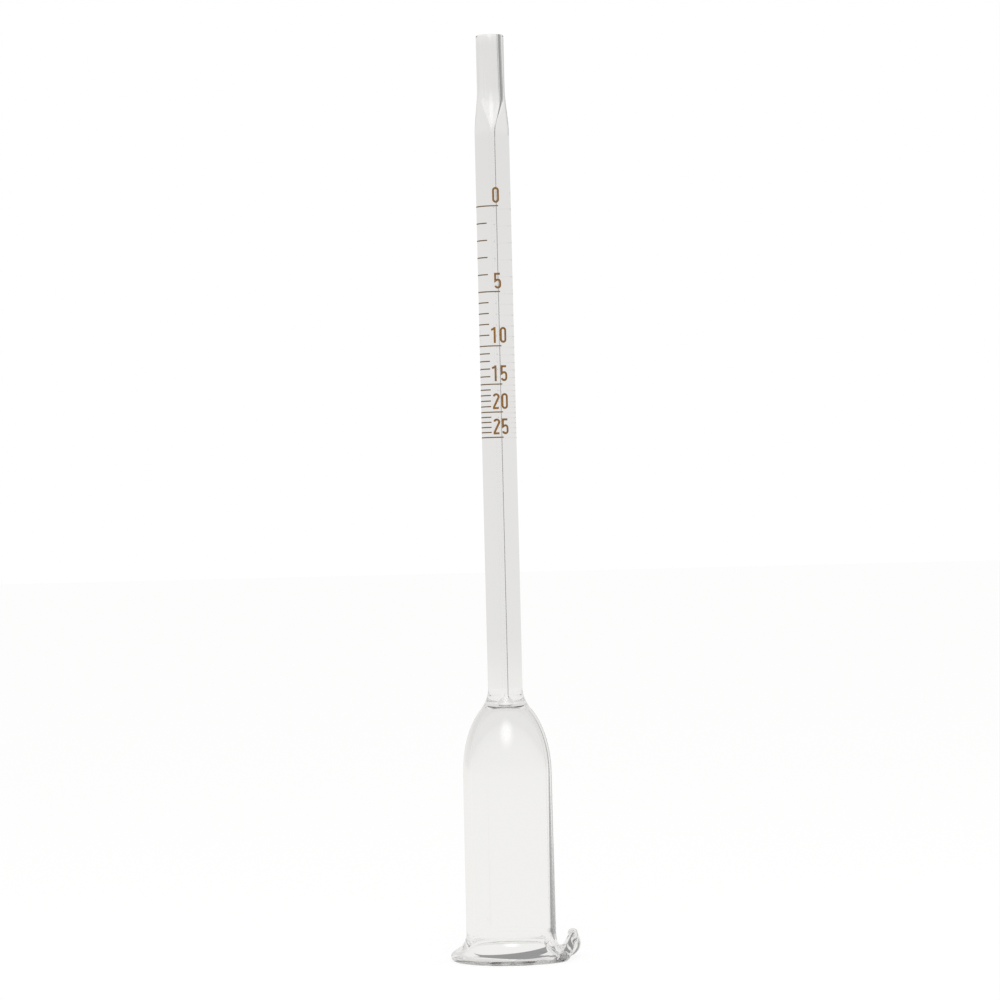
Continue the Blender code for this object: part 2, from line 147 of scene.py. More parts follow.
class VINOMETER_PG_stage(bpy.types.PropertyGroup):
    """Places and levels of the camera, the lights and the floor"""
    distance: length("Camera distance", "Camera to the stem's axis", 560.0)
    eye_height: length("Eye height", "Camera above the floor", 66.6)
    focal_length: FloatProperty(name="Focal length", description="Lens on a 36 mm sensor",
                                default=139.0, min=1.0, subtype="DISTANCE_CAMERA")
    roll: turn("Roll", "Camera turned about its own axis", 1.39)
    softbox_power: FloatProperty(name="Softbox power", description="Light of the front softbox",
                                 default=0.85, min=0.0, subtype="POWER", unit="POWER")
    softbox_size: length("Softbox size", "Side of the square lamp", 300.0)
    softbox_distance: length("Softbox distance", "Softbox to the point that it faces", 500.0)
    softbox_elevation: turn("Softbox elevation", "How high it stands, seen from that point", 38.0)
    softbox_aim: length("Softbox aim", "Height of the point that it faces", 35.0)
    glow_radius: length("Glow radius", "The softbox's mirrored face fades out here", 160.0)
    glow_peak: FloatProperty(name="Glow peak", description="Brightness in the middle of that face",
                             default=5.0, min=0.0)
    ambient: share("Ambient", "Strength of the studio's own light", 0.7)
    wall_low: share("Low wall", "What the glass shows at the horizon", 0.79)
    wall_high: share("High wall", "What the glass shows above the horizon", 0.735)
    floor_near: share("Near floor", "What the glass shows of the floor close by", 0.89)
    floor_far: share("Far floor", "What the glass shows of the floor far behind", 0.79)
    floor_glow: share("Floor glow", "The floor's own brightness, seen directly", 0.87)
    board_seen: colour("Board, seen", "Paint of the floor, seen directly", "#6F6F6F")
    board_plain: colour("Board, unseen", "Paint of the floor, as it lights the rest", "#E7E7E7")
    # Glow of the cards, the lip's core and the foot's ring: painted shade and painted reflection.
    card_grey: share("Card grey", "Brightness of the dark cards", 0.27)
    bounces: IntProperty(name="Bounces", description="Enough for light caught in the foot's rim",
                         default=160, min=1)


FIVE_UNIT_LENGTHS = (12.39 * MM, 7.84 * MM, 5.53 * MM, 4.03 * MM, 3.65 * MM)
UNITS_PER_LENGTH = 5
ARC_POINTS = 72                       # round a scale line
SHARP_ANGLE = math.radians(40.0)      # edges of the enamel that are steeper stay crisp
SECOND_FILM = 0.8                     # a digit's second stroke is thinner, so their faces part
FLAG_TOP = 0.17 * MM                  # the flag of a 1 leaves the stroke this far below its top
FLAG_FOOT = 0.4 * MM                  # and ends this far below it
WAIST = 0.56                          # top of the bowl of a 5, as a share of its height
SAME_POINT = 0.001 * MM
STRETCH = 0.1 * MM                    # longest step round the stem along a digit's stroke
SHARPEST_MITRE = 0.5                  # a stroke widens to no more than twice itself at a corner

CEILING_ROUNDING = 0.25 * MM          # where the bell's ceiling meets its wall
CEILING_START = 0.03                  # the wall's ellipse stops this many radians short of it
THROAT_EDGE = 0.1 * MM                # between the flat ceiling and the throat
THROAT_STEP = 0.05 * MM               # the throat's first point is this far above the ceiling
BORE_MARGIN = 0.3 * MM                # points this close to the bore lie off the axis with it

# Steps along each stretch of the glass
RIM_STEPS = 6
MOUTH_STEPS = 6
TAPER_STEPS = 20
STEM_STEPS = 20
FILLET_STEPS = 16
SHOULDER_STEPS = 30
WALL_STEPS = 16
FLANGE_STEPS = 33
EDGE_STEPS = 18
CEILING_ROUNDING_STEPS = 5
CEILING_STEPS = 4
THROAT_STEPS = 18
BORE_TAPER_STEPS = 24
MOUTH_BORE_STEPS = 8

FLOOR_HALF = 3.0                      # half of the floor's side
FLOOR_BAND = (0.3, 1.3)               # distance from the stem over which the floor greys
WALL_BAND = (0.04, 0.13)              # upward share of a ray over which the wall greys
PURE_WHITE = "#FFFFFF"
WARM_WHITE = "#FFFEFC"
FACE_HALF_WIDTH = 0.25                # of the softbox's face; its glow fades out inside that
FACE_HALF_HEIGHT = 0.23
FACE_SQUASH = (0.65, 0.7, 1.0)        # makes the glow an oval
CAMERA_SIDE = -0.1 * MM
SENSOR_WIDTH = 36.0
CLIP_START = 10.0 * MM

# Dark cards beside the glass's right edge, painted shade that the glass shows on its right side:
# name, distance behind the axis, lowest and highest point, and the width at each, in millimetres.
# A negative distance is in front of the axis.
CARDS = (
    ("foot_card", -0.25, 2.7, 3.9, 0.3, 1.3),
    ("bell_card", -0.25, 3.9, 27.0, 1.3, 0.3),
    ("shoulder_card", -0.25, 27.0, 36.4, 0.3, 0.06),
    ("edge_card", 0.42, 3.5, 16.0, 0.2, 0.05),
    ("mouth_card", 0.6, 119.5, 133.9, 2.2, 2.2),
    ("rim_card", 1.1, 124.0, 133.9, 0.3, 0.3),
)
CARD_ROWS = 60
CARD_GAP = 0.01 * MM                  # between the glass and a card
# A dark sheet inside the lip: a painted reflection.
CORE_HALF_WIDTH = 0.3 * MM
CORE_STEPS = 48                       # along the middle of the lip, from the wall to its tip
CORE_SPAN = slice(18, 42)             # the sheet inside the lip covers these of them
# A dark ring inside the foot: painted shadow under the foot, seen through the glass.
SKIRT_GAP = 0.1 * MM                  # between the bell's wall and the ring inside the foot
SKIRT_LOW = 0.02 * MM
SKIRT_HEIGHT = 0.8 * MM               # half-way round; it is SKIRT_SWING higher at the lip
SKIRT_SWING = 0.72 * MM
SKIRT_FLATS = 96


# ---------------------------------------------------------------- small helpers


def linear(code):
    """An sRGB hex code as linear RGBA."""
    parts = [int(code[i:i + 2], 16) / 255 for i in (1, 3, 5)]
    return (*[p / 12.92 if p <= 0.04045 else ((p + 0.055) / 1.055) ** 2.4 for p in parts], 1.0)


def node(tree, kind, inputs=None, **settings):
    """Add a node; an input's value is a constant, or the output socket that feeds it."""
    made = tree.nodes.new(kind)
    for name, value in settings.items():
        setattr(made, name, value)
    for name, value in (inputs or {}).items():
        if isinstance(value, bpy.types.NodeSocket):
            tree.links.new(value, made.inputs[name])
        else:
            made.inputs[name].default_value = value
    return made


def blank_material(name):
    """A new material and its empty node tree."""
    material = bpy.data.materials.new(name)
    material.use_nodes = True
    material.node_tree.nodes.clear()
    return material, material.node_tree


def smooth_step(part):
    """0 up to 1, easing in and out, and level outside that."""
    part = min(max(part, 0.0), 1.0)
    return part * part * (3.0 - 2.0 * part)


def spaced(start, end, count):
    """Evenly spaced values in count steps, both ends included."""
    return [start + (end - start) * i / count for i in range(count + 1)]


def rounded_corner(corner, before, after, steps):
    """A curve from one point to another that leaves and arrives in line with their corner."""
    curve = []
    for part in spaced(0.0, 1.0, steps):
        start = Vector(before).lerp(Vector(corner), part)
        end = Vector(corner).lerp(Vector(after), part)
        curve.append(tuple(start.lerp(end, part)))
    return curve


def finish_piece(name, mesh, material, nodes):
    """Give a finished mesh its material and its body, and hide the CAD parts that it stands for."""
    mesh.materials.clear()
    mesh.materials.append(material)
    piece = bpy.data.objects.new(name, mesh)
    bpy.context.scene.collection.objects.link(piece)
    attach(piece, "root")
    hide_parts(*nodes)
    return piece


# ---------------------------------------------------------------- materials


def glass_material(g):
    """Borosilicate glass, drawn and flame-worked: smooth, bright and faintly grey in its thickness.

    The right side of the capillary is painted dark in the base colour: a painted reflection of the
    dark surroundings that the wall of a real capillary mirrors, which makes it read as one fine
    line.
    """
    material, tree = blank_material("clear_glass")
    # Painted shade: the base colour darkens towards the capillary's right side, a painted
    # reflection.
    where = node(tree, "ShaderNodeTexCoord")
    to_side = (-g.bore_offset - g.bore_radius, 0.0, 0.0)
    from_side = node(tree, "ShaderNodeVectorMath", {0: where.outputs["Object"], 1: to_side},
                     operation="ADD")
    level = node(tree, "ShaderNodeVectorMath", {0: from_side.outputs["Vector"], 1: (1.0, 1.0, 0.0)},
                 operation="MULTIPLY")
    away = node(tree, "ShaderNodeVectorMath", {0: level.outputs["Vector"]}, operation="LENGTH")
    clear = node(tree, "ShaderNodeMapRange", {
        "Value": away.outputs["Value"], "From Min": g.shade_full, "From Max": g.shade_end,
        "To Min": g.shade_left, "To Max": 1.0})
    surface = node(tree, "ShaderNodeBsdfPrincipled", {
        "Base Color": clear.outputs["Result"], "Roughness": 0.0, "IOR": 1.47,
        "Transmission Weight": 1.0})
    volume = node(tree, "ShaderNodeVolumeAbsorption", {
        "Color": linear(g.glass_tint), "Density": 10.0})
    node(tree, "ShaderNodeOutputMaterial", {
        "Surface": surface.outputs["BSDF"], "Volume": volume.outputs["Volume"]})
    return material


def enamel_material(name, code):
    """Vitreous enamel, screen-printed and fired: a dull film, mottled where it melted unevenly.

    Its mottling has three spots to the millimetre.
    """
    material, tree = blank_material(name)
    where = node(tree, "ShaderNodeTexCoord")
    mottle = node(tree, "ShaderNodeTexNoise", {
        "Vector": where.outputs["Object"], "Scale": 3.0 / MM, "Detail": 3.0})
    level = node(tree, "ShaderNodeMapRange", {
        "Value": mottle.outputs["Fac"], "From Min": 0.3, "From Max": 0.7, "To Min": 0.8,
        "To Max": 1.2})
    shade = node(tree, "ShaderNodeVectorMath", {0: linear(code)[:3]}, operation="SCALE")
    tree.links.new(level.outputs["Result"], shade.inputs["Scale"])
    surface = node(tree, "ShaderNodeBsdfPrincipled", {
        "Base Color": shade.outputs["Vector"], "Roughness": 0.45})
    node(tree, "ShaderNodeOutputMaterial", {"Surface": surface.outputs["BSDF"]})
    return material


# ---------------------------------------------------------------- glass


def ceiling_at(g):
    """Height of the bell's flat ceiling."""
    return g.shoulder_base + g.shoulder_rise - g.ceiling_depth


def bore_at(g, height):
    """Radius of the bore that runs from the mouth to the bell's ceiling."""
    ceiling = ceiling_at(g)
    closing = smooth_step((g.total_height - g.mouth_bore_length - height) / g.mouth_bore_taper)
    opening = smooth_step((ceiling + g.throat_length - height) / g.throat_length)
    wide = g.mouth_bore + (g.bore_radius - g.mouth_bore) * closing
    return wide + (g.throat_radius - g.bore_radius) * opening ** 2


def bore_shift_at(g, height):
    """How far the bore lies off the axis: nothing at both open ends."""
    ceiling = ceiling_at(g)
    from_mouth = smooth_step((g.total_height - height) / (g.mouth_bore_length + g.mouth_bore_taper))
    from_bell = smooth_step((height - ceiling) / g.throat_length)
    return g.bore_offset * from_mouth * from_bell


def outside_outline(g):
    """(radius, height) from the rim down to where the flange starts."""
    taper_top = g.total_height - g.mouth_length
    taper_end = taper_top - g.mouth_taper
    line = rounded_corner((g.mouth_radius, g.total_height),
                          (g.mouth_radius - g.rounding, g.total_height),
                          (g.mouth_radius, g.total_height - g.rounding), RIM_STEPS)
    line += [(g.mouth_radius, height)
             for height in spaced(g.total_height - g.rounding, taper_top, MOUTH_STEPS)[1:]]
    for height in spaced(taper_top, taper_end, TAPER_STEPS)[1:]:
        grown = smooth_step((taper_top - height) / g.mouth_taper)
        line.append((g.mouth_radius + (g.stem_radius - g.mouth_radius) * grown, height))
    blend = g.shoulder_base + g.shoulder_rise * math.sin(g.neck_angle)
    low = Vector((g.shoulder_radius * math.cos(g.neck_angle), blend))
    slope = g.shoulder_rise / g.shoulder_radius / math.tan(g.neck_angle)
    corner = Vector((g.stem_radius, low.y + (low.x - g.stem_radius) * slope))
    fillet = rounded_corner(corner, (g.stem_radius, corner.y + g.neck_fillet), low, FILLET_STEPS)
    line += [(g.stem_radius, height)
             for height in spaced(taper_end, fillet[0][1], STEM_STEPS)[1:-1]]
    line += fillet
    for angle in spaced(g.neck_angle, 0.0, SHOULDER_STEPS)[1:]:
        line.append((g.shoulder_radius * math.cos(angle),
                     g.shoulder_base + g.shoulder_rise * math.sin(angle)))
    for down in spaced(0.0, 1.0, WALL_STEPS)[1:-1]:
        line.append((g.shoulder_radius + (g.bell_radius - g.shoulder_radius) * down,
                     g.shoulder_base + (g.flange_height - g.shoulder_base) * down))
    return line


def inside_outline(g):
    """(radius, height) from the flange up the bell, over the ceiling and up the bore."""
    line = []
    inner = g.shoulder_radius - g.wall
    for up in spaced(0.0, 1.0, WALL_STEPS)[1:]:
        line.append((g.bell_radius - g.wall + (inner - g.bell_radius + g.wall) * up,
                     g.flange_height + (g.shoulder_base - g.flange_height) * up))
    rise = g.shoulder_rise - g.crown_wall
    ceiling = ceiling_at(g)
    top = math.asin((ceiling - g.shoulder_base) / rise)
    for angle in spaced(0.0, top - CEILING_START, SHOULDER_STEPS)[1:]:
        line.append((inner * math.cos(angle), g.shoulder_base + rise * math.sin(angle)))
    edge = Vector((inner * math.cos(top), ceiling))
    line += rounded_corner(edge, line[-1], (edge.x - CEILING_ROUNDING, ceiling),
                           CEILING_ROUNDING_STEPS)[1:]
    throat_edge = g.throat_radius + THROAT_EDGE
    line += [(radius, ceiling) for radius in spaced(line[-1][0], throat_edge, CEILING_STEPS)[1:]]
    throat_top = ceiling + g.throat_length
    line += [(bore_at(g, height), height)
             for height in spaced(ceiling + THROAT_STEP, throat_top, THROAT_STEPS)]
    taper_top = g.total_height - g.mouth_bore_length
    taper_end = taper_top - g.mouth_bore_taper
    line += [(g.bore_radius, height)
             for height in spaced(throat_top, taper_end, STEM_STEPS)[1:-1]]
    line += [(bore_at(g, height), height)
             for height in spaced(taper_end, taper_top, BORE_TAPER_STEPS)]
    rim_start = g.total_height - g.rounding
    line += [(g.mouth_bore, height)
             for height in spaced(taper_top, rim_start, MOUTH_BORE_STEPS)[1:-1]]
    return line + rounded_corner((g.mouth_bore, g.total_height), (g.mouth_bore, rim_start),
                                 (g.mouth_bore + g.rounding, g.total_height), RIM_STEPS)


def lip_share(angle, spread):
    """1 at the middle of the lip, easing to 0 at the spread and beyond."""
    away = min(abs(angle), 2 * math.pi - abs(angle)) / spread
    return math.cos(away * math.pi / 2) ** 2 if away < 1.0 else 0.0


def turning_curve(turned, steps):
    """Curve of unit length that sets off straight down and turns gradually outwards and up."""
    curve = [Vector((0.0, 0.0))]
    for step in range(steps):
        heading = turned * smooth_step((step + 0.5) / steps) - math.pi / 2
        curve.append(curve[-1] + Vector((math.cos(heading), math.sin(heading))) / steps)
    return curve


def flange_line(g, angle, steps):
    """Middle line of the flange at an angle from the lip, as (radius, height, half thickness)."""
    drawn = lip_share(angle, g.drawn_spread)
    curled = lip_share(angle, g.curled_spread)
    curve = turning_curve(g.flange_turn + (g.lip_turn - g.flange_turn) * curled, steps)
    deepest = min(point.y for point in curve)
    widest = max(point.x for point in curve)
    full_curl = turning_curve(g.lip_turn, steps)
    half_edge = g.foot_edge / 2 + (g.lip_edge - g.foot_edge) / 2 * curled
    low = g.foot_edge / 2 - g.foot_flat + g.lip_lift * curled
    curl_rise = full_curl[-1].y - min(point.y for point in full_curl)
    rise_scale = (g.lip_height - g.lip_edge / 2 - g.foot_edge / 2 - g.lip_lift) / curl_rise
    reach = g.foot_flare + g.wall / 2 - half_edge + g.lip_reach * drawn
    turned_at = [point.y for point in curve].index(deepest)
    line = []
    for i, point in enumerate(curve):
        if i <= turned_at:
            height = g.flange_height - (g.flange_height - low) * point.y / deepest
        else:
            height = low + (point.y - deepest) * rise_scale
        half = g.wall / 2 + (half_edge - g.wall / 2) * smooth_step(i / steps)
        line.append(Vector((g.bell_radius - g.wall / 2 + reach * point.x / widest, height, half)))
    return line


def flange_section(g, angle):
    """(radius, height) from the top of the flange, over its edge and back along its underside."""
    line = flange_line(g, angle, FLANGE_STEPS)
    upper = []
    lower = []
    for i, point in enumerate(line):
        before = line[max(i - 1, 0)]
        after = line[min(i + 1, FLANGE_STEPS)]
        along = (after - before).xy.normalized() if i else Vector((0.0, -1.0))
        out = Vector((-along.y, along.x)) * point.z
        upper.append(point.xy + out)
        lower.append(point.xy - out)
    start = math.atan2(out.y, out.x)
    cap = [point.xy + point.z * Vector((math.cos(start - bend), math.sin(start - bend)))
           for bend in spaced(0.0, math.pi, EDGE_STEPS)[1:-1]]
    return [(place.x, max(place.y, 0.0)) for place in upper + cap + lower[::-1]]


def flats_round(g):
    """Angles from the lip: half of the flats are close to it, and half round the rest."""
    half = g.around // 2
    return (spaced(-g.fine_spread, g.fine_spread, half)[:-1]
            + spaced(g.fine_spread, 2 * math.pi - g.fine_spread, half)[:-1])


def glass_mesh(g):
    """One closed skin: down the outside, over the foot, and up the inside and the bore."""
    outside = outside_outline(g)
    inside = inside_outline(g)
    ceiling = ceiling_at(g)
    places = []
    for angle in flats_round(g):
        section = outside + flange_section(g, angle)
        points = [(radius, height, 0.0) for radius, height in section]
        for radius, height in inside:
            in_bore = height >= ceiling and radius < bore_at(g, height) + BORE_MARGIN
            points.append((radius, height, bore_shift_at(g, height) if in_bore else 0.0))
        places += [(radius * math.cos(angle) + shift, radius * math.sin(angle), height)
                   for radius, height, shift in points]
        count = len(points)
    faces = []
    columns = len(places) // count
    for i in range(columns):
        here, there = i * count, (i + 1) % columns * count
        for k in range(count):
            following = (k + 1) % count
            faces.append((here + k, here + following, there + following, there + k))
    mesh = bpy.data.meshes.new("glass_body")
    mesh.from_pydata(places, [], faces)
    shape = bmesh.new()
    shape.from_mesh(mesh)
    bmesh.ops.recalc_face_normals(shape, faces=shape.faces)
    shape.to_mesh(mesh)
    shape.free()
    mesh.shade_smooth()
    return mesh


class VINOMETER_OT_glass(bpy.types.Operator):
    """Build the fused glass body, from the mouth to the lipped foot"""
    bl_idname = "vinometer.glass"
    bl_label = "Build glass"

    def execute(self, context):
        g = context.scene.vinometer_glass
        finish_piece("glass_body", glass_mesh(g), glass_material(g),
                     ("mouth_tube", "capillary_stem", "neck_seal", "bell", "foot_flange"))
        return {"FINISHED"}


# ---------------------------------------------------------------- scale


def unit_heights(s):
    """Heights of the scale's lines, from the zero line down."""
    heights = [s.zero_height]
    for five in FIVE_UNIT_LENGTHS:
        for _ in range(UNITS_PER_LENGTH):
            heights.append(heights[-1] - five / UNITS_PER_LENGTH)
    return heights


def crisp(mesh):
    """Smooth the enamel's faces and keep its edges."""
    mesh.shade_smooth()
    mesh.set_sharp_from_angle(angle=SHARP_ANGLE)
    return mesh


def lines_group():
    """Geometry nodes: an arc of enamel round the stem at each point of the input.

    The arc reaches from the bite inside the glass to the film outside it.
    """
    tree = bpy.data.node_groups.new("Scale lines", "GeometryNodeTree")
    tree.interface.new_socket("Heights", in_out="INPUT", socket_type="NodeSocketGeometry")
    for name, kind in (("Stem radius", "NodeSocketFloat"), ("Film", "NodeSocketFloat"),
                       ("Bite", "NodeSocketFloat"), ("Line width", "NodeSocketFloat"),
                       ("Start angle", "NodeSocketFloat"), ("Sweep angle", "NodeSocketFloat"),
                       ("Enamel", "NodeSocketMaterial")):
        tree.interface.new_socket(name, in_out="INPUT", socket_type=kind)
    tree.interface.new_socket("Lines", in_out="OUTPUT", socket_type="NodeSocketGeometry")
    given = node(tree, "NodeGroupInput").outputs
    deep = node(tree, "ShaderNodeMath", {0: given["Film"], 1: given["Bite"]}, operation="ADD")
    proud = node(tree, "ShaderNodeMath", {0: given["Film"], 1: given["Bite"]}, operation="SUBTRACT")
    half = node(tree, "ShaderNodeMath", {0: proud.outputs[0], 1: 0.5}, operation="MULTIPLY")
    middle = node(tree, "ShaderNodeMath", {0: given["Stem radius"], 1: half.outputs[0]},
                  operation="ADD")
    path = node(tree, "GeometryNodeCurveArc", {
        "Resolution": ARC_POINTS, "Radius": middle.outputs[0], "Start Angle": given["Start angle"],
        "Sweep Angle": given["Sweep angle"]})
    section = node(tree, "GeometryNodeCurvePrimitiveQuadrilateral", {
        "Width": deep.outputs[0], "Height": given["Line width"]})
    line = node(tree, "GeometryNodeCurveToMesh", {
        "Curve": path.outputs["Curve"], "Profile Curve": section.outputs["Curve"],
        "Fill Caps": True})
    placed = node(tree, "GeometryNodeInstanceOnPoints", {
        "Points": given["Heights"], "Instance": line.outputs["Mesh"]})
    real = node(tree, "GeometryNodeRealizeInstances", {"Geometry": placed.outputs["Instances"]})
    coloured = node(tree, "GeometryNodeSetMaterial", {
        "Geometry": real.outputs["Geometry"], "Material": given["Enamel"]})
    node(tree, "NodeGroupOutput", {"Lines": coloured.outputs["Geometry"]})
    return tree


def lines_mesh(name, heights, values):
    """Run the line nodes on a column of points and keep the plain mesh."""
    column = bpy.data.meshes.new(name + "_points")
    column.from_pydata([(0.0, 0.0, height) for height in heights], [], [])
    guide = bpy.data.objects.new(name + "_points", column)
    bpy.context.scene.collection.objects.link(guide)
    tree = bpy.data.node_groups.get("Scale lines") or lines_group()
    modifier = guide.modifiers.new("Lines", "NODES")
    modifier.node_group = tree
    for item in tree.interface.items_tree:
        if item.in_out == "INPUT" and item.name in values:
            modifier[item.identifier] = values[item.name]
    graph = bpy.context.evaluated_depsgraph_get()
    mesh = bpy.data.meshes.new_from_object(guide.evaluated_get(graph))
    bpy.data.objects.remove(guide, do_unlink=True)
    if not mesh.polygons:
        raise RuntimeError("the scale's lines came out empty")
    mesh.name = name
    return crisp(mesh)


class VINOMETER_OT_lines(bpy.types.Operator):
    """Build the scale's long numbered lines and its short lines"""
    bl_idname = "vinometer.lines"
    bl_label = "Build scale lines"

    def execute(self, context):
        s = context.scene.vinometer_scale
        enamel = enamel_material("line_enamel", s.line_colour)
        heights = unit_heights(s)
        for name, end, wanted in (("long_lines", s.long_end, True),
                                  ("short_lines", s.short_end, False)):
            units = [unit for unit in range(len(heights))
                     if (unit % UNITS_PER_LENGTH == 0) == wanted]
            mesh = lines_mesh(name, [heights[unit] for unit in units], {
                "Stem radius": context.scene.vinometer_glass.stem_radius, "Film": s.film,
                "Bite": s.bite, "Line width": s.line_width,
                "Start angle": s.line_start - math.pi / 2, "Sweep angle": end - s.line_start,
                "Enamel": enamel})
            finish_piece(name, mesh, enamel, [f"scale_line_{unit:02d}" for unit in units])
        return {"FINISHED"}


def arc(centre, half, start, end, steps=24):
    """Points on a circle's arc, angles in degrees anticlockwise from +X."""
    return [Vector((centre[0] + half * math.cos(math.radians(angle)),
                    centre[1] + half * math.sin(math.radians(angle))))
            for angle in spaced(start, end, steps)]


def digit_strokes(s, digit):
    """Middle lines of the strokes of a 0, 1, 2 or 5, each with whether it's a ring.

    The digit stands on 0 and is centred.
    """
    half = (s.numeral_width - s.stroke) / 2
    low = s.stroke / 2
    high = s.numeral_height - s.stroke / 2
    if digit == "0":
        top = arc((0, high - half), half, 0, 180)
        return [(top + arc((0, low + half), half, 180, 360)[:-1], True)]
    if digit == "1":
        flag = [Vector((0.0, s.numeral_height - FLAG_TOP)),
                Vector((-s.numeral_width / 2, s.numeral_height - FLAG_FOOT))]
        return [([Vector((0.0, 0.0)), Vector((0.0, s.numeral_height))], False), (flag, False)]
    if digit == "2":
        bowl = arc((0, high - half), half, 170, -30)
        return [(bowl + [Vector((-half, low * 2)), Vector((-half, low)), Vector((half, low))],
                 False)]
    waist = s.numeral_height * WAIST
    bowl = arc((0, waist - half), half, 135, 0)
    tail = arc((0, low + half), half, 0, -170)
    return [([Vector((half, high)), Vector((-half, high)), Vector((-half, waist - half * 0.5)),
              *bowl, *tail], False)]


def without_repeats(points):
    """Leave out points that lie on the one before."""
    kept = [points[0]]
    for point in points[1:]:
        if (point - kept[-1]).length > SAME_POINT:
            kept.append(point)
    return kept


def shortened(stroke, ring):
    """Cut the stretches that run round the stem into short ones, so that they bend with it."""
    closed = stroke + stroke[:1] if ring else stroke
    points = []
    for a, b in zip(closed, closed[1:]):
        pieces = max(1, math.ceil(abs(b.x - a.x) / STRETCH))
        points += [a.lerp(b, i / pieces) for i in range(pieces)]
    return points if ring else points + [stroke[-1]]


def add_stroke(shape, s, stem_radius, stroke, ring, centre, base, film):
    """A closed ribbon of enamel of even width, bent round the stem."""
    points = shortened(without_repeats(stroke), ring)
    count = len(points)
    rows = []
    for i, point in enumerate(points):
        before = points[i - 1] if ring or i else None
        after = points[(i + 1) % count] if ring or i < count - 1 else None
        come = (point - before).normalized() if before else (after - point).normalized()
        leave = (after - point).normalized() if after else come
        along = (come + leave).normalized()
        mitre = max(along.dot(come), SHARPEST_MITRE)
        across = Vector((-along.y, along.x)) * s.stroke / 2 / mitre
        row = []
        for place, radius in ((point + across, stem_radius - s.bite),
                              (point + across, stem_radius + film),
                              (point - across, stem_radius + film),
                              (point - across, stem_radius - s.bite)):
            angle = centre + place.x / stem_radius
            row.append(shape.verts.new((radius * math.sin(angle), -radius * math.cos(angle),
                                        base + place.y)))
        rows.append(row)
    for row, following in zip(rows, rows[1:] + rows[:1] if ring else rows[1:]):
        for k in range(4):
            shape.faces.new((row[k], row[(k + 1) % 4], following[(k + 1) % 4], following[k]))
    if not ring:
        shape.faces.new(rows[0])
        shape.faces.new(rows[-1][::-1])


def number_mesh(name, s, stem_radius, digits, base):
    """The digits of one number, side by side, each standing on the base height."""
    shape = bmesh.new()
    pitch = (s.numeral_width + s.space) / stem_radius
    for place, digit in enumerate(digits):
        centre = s.numeral_angle + (place - (len(digits) - 1) / 2) * pitch
        films = (s.film, s.film * SECOND_FILM)
        for film, (stroke, ring) in zip(films, digit_strokes(s, digit)):
            add_stroke(shape, s, stem_radius, stroke, ring, centre, base, film)
    bmesh.ops.recalc_face_normals(shape, faces=shape.faces)
    mesh = bpy.data.meshes.new(name)
    shape.to_mesh(mesh)
    shape.free()
    return crisp(mesh)


class VINOMETER_OT_numerals(bpy.types.Operator):
    """Build a number above each long line"""
    bl_idname = "vinometer.numerals"
    bl_label = "Build numerals"

    def execute(self, context):
        s = context.scene.vinometer_scale
        stem_radius = context.scene.vinometer_glass.stem_radius
        enamel = enamel_material("numeral_enamel", s.numeral_colour)
        heights = unit_heights(s)
        for unit in range(0, len(heights), UNITS_PER_LENGTH):
            digits = str(unit)
            nodes = [f"numeral_{unit}"]
            if len(digits) == 2:
                nodes = [f"numeral_{unit}_tens", f"numeral_{unit}_units"]
            name = f"number_{unit}"
            mesh = number_mesh(name, s, stem_radius, digits, heights[unit] + s.lift)
            finish_piece(name, mesh, enamel, nodes)
        return {"FINISHED"}


# ---------------------------------------------------------------- studio


def ray_kinds(tree):
    """Two factors: 1 for what the camera sees directly, and 1 for what glass mirrors or lets in."""
    path = node(tree, "ShaderNodeLightPath").outputs
    through = node(tree, "ShaderNodeMath", {
        0: path["Is Glossy Ray"], 1: path["Is Transmission Ray"]}, operation="MAXIMUM")
    return path["Is Camera Ray"], through.outputs[0]


def make_world(stage):
    """White behind the glass, a little greyer higher up, and a plain level of light elsewhere."""
    world = bpy.data.worlds.new("studio")
    world.use_nodes = True
    tree = world.node_tree
    tree.nodes.clear()
    camera, through = ray_kinds(tree)
    where = node(tree, "ShaderNodeTexCoord")
    direction = node(tree, "ShaderNodeSeparateXYZ", {"Vector": where.outputs["Generated"]})
    upward = node(tree, "ShaderNodeMapRange", {
        "Value": direction.outputs["Z"], "From Min": WALL_BAND[0], "From Max": WALL_BAND[1],
        "To Min": stage.wall_low, "To Max": stage.wall_high})
    strength = node(tree, "ShaderNodeMix", {
        "Factor": through, 2: stage.ambient, 3: upward.outputs["Result"]})
    light = node(tree, "ShaderNodeBackground", {
        "Color": linear(WARM_WHITE), "Strength": strength.outputs[0]})
    white = node(tree, "ShaderNodeBackground", {"Color": linear(PURE_WHITE), "Strength": 1.0})
    mixed = node(tree, "ShaderNodeMixShader", {0: camera, 1: light.outputs[0], 2: white.outputs[0]})
    node(tree, "ShaderNodeOutputWorld", {"Surface": mixed.outputs[0]})
    return world


